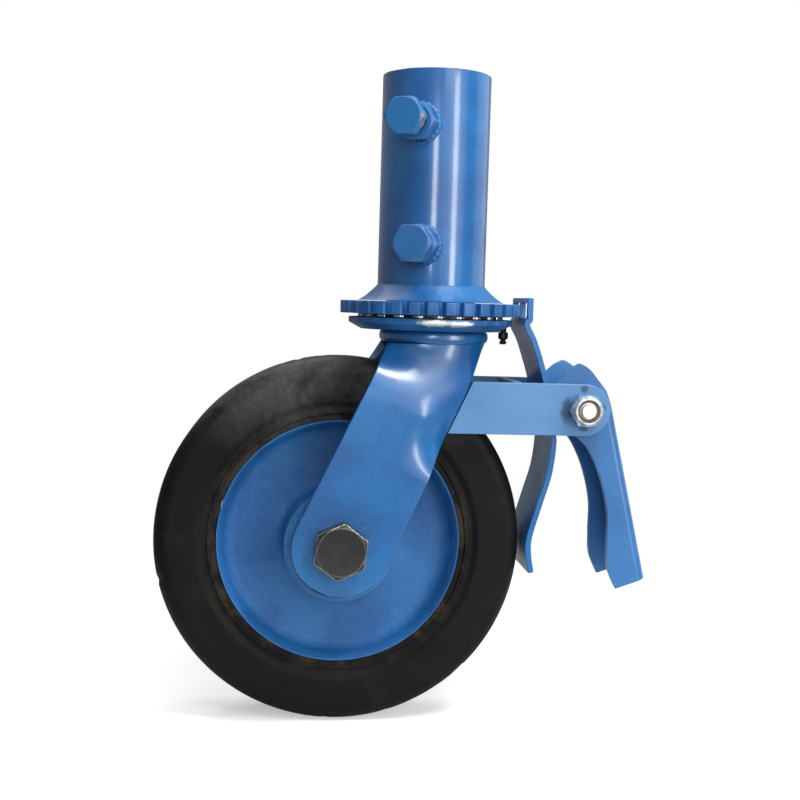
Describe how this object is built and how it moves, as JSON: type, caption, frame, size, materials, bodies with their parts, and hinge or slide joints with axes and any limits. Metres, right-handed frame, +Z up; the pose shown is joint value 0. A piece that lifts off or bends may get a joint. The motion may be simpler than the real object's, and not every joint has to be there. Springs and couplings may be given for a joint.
{
  "type": "scaffold castor",
  "caption": "Swivel castor for a scaffold tube: clamping tube socket, toothed swivel ring, pressed fork, solid rubber wheel and a lever brake that locks wheel and swivel together.",
  "frame": {"origin": "on the swivel axis at the top face of the toothed ring, where the end of the scaffold tube rests inside the socket", "axes": "+Z up the socket along the swivel axis; -X towards the trailing wheel and +X towards the brake lever; -Y is the near side of the picture, with the axle bolt's head"},
  "size_m": [0.2757, 0.1238, 0.3591],
  "materials": {
    "blue_paint": "gloss blue enamel, scuffed and chipped on corners",
    "blue_cast_paint": "blue enamel over a rough casting",
    "black_rubber": "matt black solid rubber, dusty and scuffed",
    "greasy_steel": "dark steel with grease",
    "dark_steel": "dark unpainted steel with bright worn edges",
    "zinc_steel": "plain zinc plated steel",
    "bright_steel": "bright steel, paint worn off",
    "polished_steel": "polished bearing steel",
    "bronze": "plain bearing bronze"
  },
  "bodies": {
    "socket": {"socket_tube": "blue_paint", "toothed_ring": "blue_paint", "clamp_nut_upper": "blue_paint", "clamp_nut_lower": "blue_paint", "kingpin": "greasy_steel", "kingpin_nut": "greasy_steel", "thrust_cup": "greasy_steel"},
    "upper_bolt": {"clamp_bolt_upper": "blue_paint"},
    "lower_bolt": {"clamp_bolt_lower": "blue_paint"},
    "fork": {"race_dish": "blue_paint", "race_ball_01": "polished_steel", "race_ball_02": "polished_steel", "race_ball_03": "polished_steel", "race_ball_04": "polished_steel", "race_ball_05": "polished_steel", "race_ball_06": "polished_steel", "race_ball_07": "polished_steel", "race_ball_08": "polished_steel", "race_ball_09": "polished_steel", "race_ball_10": "polished_steel", "race_ball_11": "polished_steel", "race_ball_12": "polished_steel", "race_ball_13": "polished_steel", "race_ball_14": "polished_steel", "race_ball_15": "polished_steel", "race_ball_16": "polished_steel", "race_ball_17": "polished_steel", "race_ball_18": "polished_steel", "race_ball_19": "polished_steel", "race_ball_20": "polished_steel", "race_ball_21": "polished_steel", "race_ball_22": "polished_steel", "grease_nipple": "greasy_steel", "fork_crown": "blue_paint", "fork_leg_near": "blue_paint", "fork_leg_far": "blue_paint", "axle_bolt": "dark_steel", "axle_washer": "zinc_steel", "axle_nut": "dark_steel", "axle_sleeve": "zinc_steel", "hub_washer_near": "zinc_steel", "hub_washer_far": "zinc_steel", "brake_arm_near": "blue_paint", "brake_arm_far": "blue_paint", "pivot_bolt": "bright_steel", "pivot_nut": "bright_steel", "pivot_washer_near": "zinc_steel", "pivot_washer_far": "zinc_steel", "cross_plate": "blue_paint", "guide_bolt": "zinc_steel", "guide_nut": "zinc_steel", "return_spring": "zinc_steel"},
    "wheel": {"wheel_centre": "blue_cast_paint", "tyre": "black_rubber", "hub_bush_near": "bronze", "hub_bush_far": "bronze"},
    "lever": {"brake_lever": "blue_paint"},
    "strip": {"brake_strip": "blue_paint"}
  },
  "joints": [
    {"name": "upper_bolt_thread", "type": "slide", "parent": "socket", "child": "upper_bolt", "axis": [0.3987, 0.9171, 0], "range_m": [-0.003, 0.0117]},
    {"name": "lower_bolt_thread", "type": "slide", "parent": "socket", "child": "lower_bolt", "axis": [0.3256, 0.9455, 0], "range_m": [-0.009, 0.0057]},
    {"name": "swivel", "type": "hinge", "parent": "socket", "child": "fork", "pos_m": [0, 0, 0], "axis": [0, 0, 1], "continuous": true},
    {"name": "wheel_spin", "type": "hinge", "parent": "fork", "child": "wheel", "pos_m": [-0.0497, 0, -0.1328], "axis": [0, 1, 0], "continuous": true},
    {"name": "brake_lever_hinge", "type": "hinge", "parent": "fork", "child": "lever", "pos_m": [0.0842, 0, -0.0569], "axis": [0, -1, 0], "range_deg": [0, 50]},
    {"name": "brake_strip_slide", "type": "slide", "parent": "fork", "child": "strip", "axis": [-1, 0, 0], "range_m": [0, 0.0028], "deforming": ["return_spring"]}
  ],
  "couplings": [
    {"joint": "brake_strip_slide", "follows": "brake_lever_hinge", "m_per_rad": 0.003208}
  ]
}
